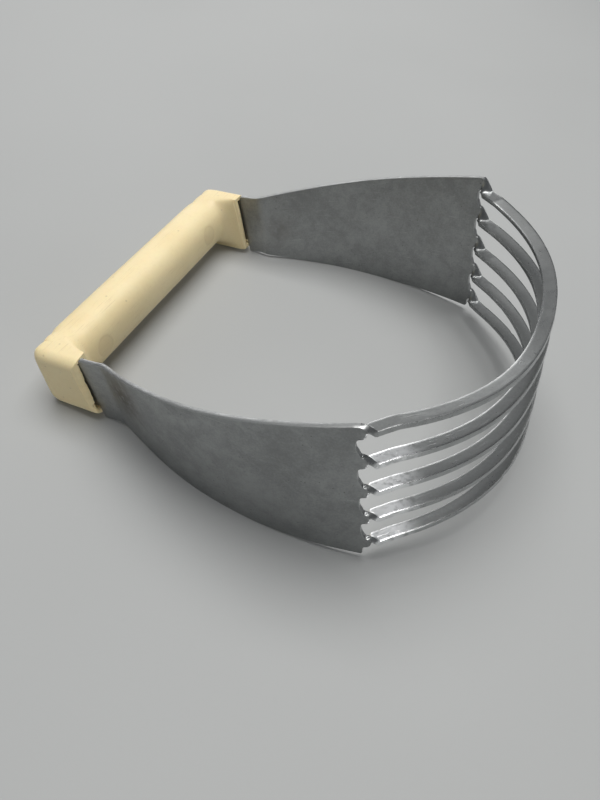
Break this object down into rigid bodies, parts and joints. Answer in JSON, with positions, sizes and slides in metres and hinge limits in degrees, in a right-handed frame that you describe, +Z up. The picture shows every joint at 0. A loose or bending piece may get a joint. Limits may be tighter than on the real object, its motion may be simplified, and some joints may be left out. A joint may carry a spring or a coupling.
{
  "type": "pastry blender",
  "caption": "Hand-held dough blender: moulded bar handle with socketed ends gripping a bowed, flared sheet-steel hoop whose narrow twisted blades curve round the front.",
  "frame": {"origin": "bottom centre of the bounding box, on the table the tool lies on", "axes": "+X from the handle to the front of the blades, +Y to the left end of the handle, +Z up, square to the table on which the tool lies on its side"},
  "size_m": [0.1464, 0.1234, 0.0536],
  "materials": {
    "handle_plastic": "satin moulded plastic, ivory, with light wear and two faint ejector-pin rings",
    "steel": "dull tinned sheet steel, blotchy grey with fine scratches and bright cut edges"
  },
  "bodies": {
    "root": {"handle": "handle_plastic", "left_wing": "steel", "right_wing": "steel", "blade_1": "steel", "blade_2": "steel", "blade_3": "steel", "blade_4": "steel", "blade_5": "steel"}
  },
  "joints": []
}
